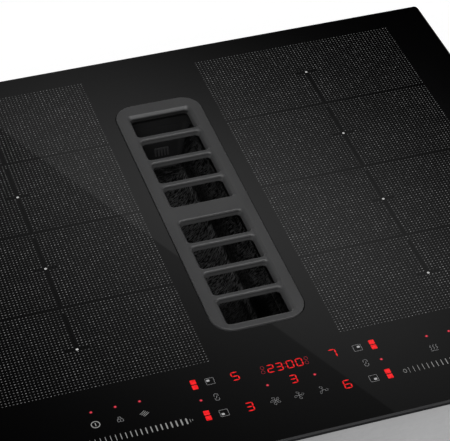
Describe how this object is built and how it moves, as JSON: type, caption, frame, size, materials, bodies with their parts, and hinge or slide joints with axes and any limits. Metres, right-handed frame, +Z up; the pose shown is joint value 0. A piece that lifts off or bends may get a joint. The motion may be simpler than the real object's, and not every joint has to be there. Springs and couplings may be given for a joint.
{
  "type": "downdraft induction cooktop",
  "caption": "Built-in induction cooktop with a slotted downdraft intake in the middle of the glass and a fan box with a flat duct outlet below.",
  "frame": {"origin": "middle of the cooktop on the plane of the worktop, the underside of the gasket under the glass", "axes": "+X to the user's right, +Y to the wall behind, +Z up"},
  "size_m": [0.6, 0.52, 0.2125],
  "materials": {
    "black_glass": "polished black glass ceramic",
    "seal_rubber": "matte foam tape",
    "silicone": "cured silicone",
    "grille_coating": "matte dark grey coating",
    "pad_rubber": "soft matte rubber",
    "collar_plastic": "fine matte black",
    "filter_steel": "black coated knitted metal",
    "filter_frame_black": "satin black",
    "tray_plastic": "matte black",
    "galvanised": "zinc coated sheet",
    "dark_plastic": "moulded black",
    "terminal_plastic": "moulded, pale",
    "ferrite": "sintered, dull",
    "sensor_ceramic": "glazed bead",
    "standoff_plastic": "natural nylon",
    "guide_plastic": "white moulded",
    "circuit_board": "green solder mask",
    "copper_wire": "stranded enamelled copper",
    "former_plastic": "moulded, heat resistant",
    "aluminium_sheet": "mill finish",
    "mica": "pressed mica sheet",
    "air_box_plastic": "moulded, fine grain",
    "wheel_plastic": "moulded",
    "motor_steel": "zinc plated",
    "bearing_steel": "ground steel",
    "spring_steel": "stainless strip",
    "screw_steel": "zinc plated"
  },
  "bodies": {
    "root": {"glass_top": "black_glass", "worktop_gasket": "seal_rubber", "glass_bond": "silicone", "intake_collar": "collar_plastic", "collar_seal": "silicone", "shaft_seal": "seal_rubber", "base_tub": "galvanised", "mains_bush": "dark_plastic", "terminal_block": "terminal_plastic", "coil_ferrites": "ferrite", "coil_sensors": "sensor_ceramic", "board_standoffs": "standoff_plastic", "light_guide": "guide_plastic", "touch_board": "circuit_board", "touch_bracket": "galvanised", "air_box_upper": "air_box_plastic", "air_box_lower": "air_box_plastic", "scroll_lower": "dark_plastic", "scroll_upper": "dark_plastic", "motor_mount": "motor_steel", "motor_bushes": "pad_rubber", "motor_stator": "motor_steel", "motor_bearings": "bearing_steel", "outlet_spigot": "dark_plastic", "flap_rod": "bearing_steel", "worktop_clips": "spring_steel", "pan_head_screws": "screw_steel", "coil_left_1": "copper_wire", "coil_left_2": "copper_wire", "coil_left_3": "copper_wire", "coil_left_4": "copper_wire", "coil_formers_left": "former_plastic", "coil_carrier_left": "aluminium_sheet", "insulation_sheet_left": "mica", "power_board_left": "circuit_board", "heatsink_left": "aluminium_sheet", "cooling_fan_frame_left": "dark_plastic", "coil_right_1": "copper_wire", "coil_right_2": "copper_wire", "coil_right_3": "copper_wire", "coil_right_4": "copper_wire", "coil_formers_right": "former_plastic", "coil_carrier_right": "aluminium_sheet", "insulation_sheet_right": "mica", "power_board_right": "circuit_board", "heatsink_right": "aluminium_sheet", "cooling_fan_frame_right": "dark_plastic"},
    "tray": {"drip_tray": "tray_plastic"},
    "filter": {"filter_mesh": "filter_steel", "filter_frame": "filter_frame_black", "filter_grip": "collar_plastic"},
    "grille": {"intake_grille": "grille_coating", "grille_pads": "pad_rubber"},
    "wheel": {"impeller": "wheel_plastic", "motor_rotor": "motor_steel", "motor_shaft": "bearing_steel"},
    "fan_left": {"cooling_fan_rotor_left": "wheel_plastic"},
    "fan_right": {"cooling_fan_rotor_right": "wheel_plastic"},
    "flap_top": {"flap_upper": "dark_plastic"},
    "flap_bottom": {"flap_lower": "dark_plastic"}
  },
  "joints": [
    {"name": "tray_lift", "type": "slide", "parent": "root", "child": "tray", "axis": [0, 0, 1], "range_m": [0, 0.26]},
    {"name": "filter_lift", "type": "slide", "parent": "tray", "child": "filter", "axis": [0, 0, 1], "range_m": [0, 0.12]},
    {"name": "grille_lift", "type": "slide", "parent": "filter", "child": "grille", "axis": [0, 0, 1], "range_m": [0, 0.08]},
    {"name": "wheel_spin", "type": "hinge", "parent": "root", "child": "wheel", "pos_m": [0.15, -0.022, -0.1375], "axis": [0, 0, 1], "continuous": true},
    {"name": "fan_left_spin", "type": "hinge", "parent": "root", "child": "fan_left", "pos_m": [-0.222, -0.194, -0.059], "axis": [0, 0, 1], "continuous": true},
    {"name": "fan_right_spin", "type": "hinge", "parent": "root", "child": "fan_right", "pos_m": [0.222, -0.194, -0.059], "axis": [0, 0, 1], "continuous": true},
    {"name": "flap_top_swing", "type": "hinge", "parent": "root", "child": "flap_top", "pos_m": [0.1475, 0.1997, -0.1375], "axis": [-1, 0, 0], "range_deg": [0, 75], "stiffness_Nm_per_rad": 0.01, "springref_deg": -28.65},
    {"name": "flap_bottom_swing", "type": "hinge", "parent": "root", "child": "flap_bottom", "pos_m": [0.1475, 0.1997, -0.1375], "axis": [1, 0, 0], "range_deg": [0, 75], "stiffness_Nm_per_rad": 0.01, "springref_deg": -28.65}
  ]
}
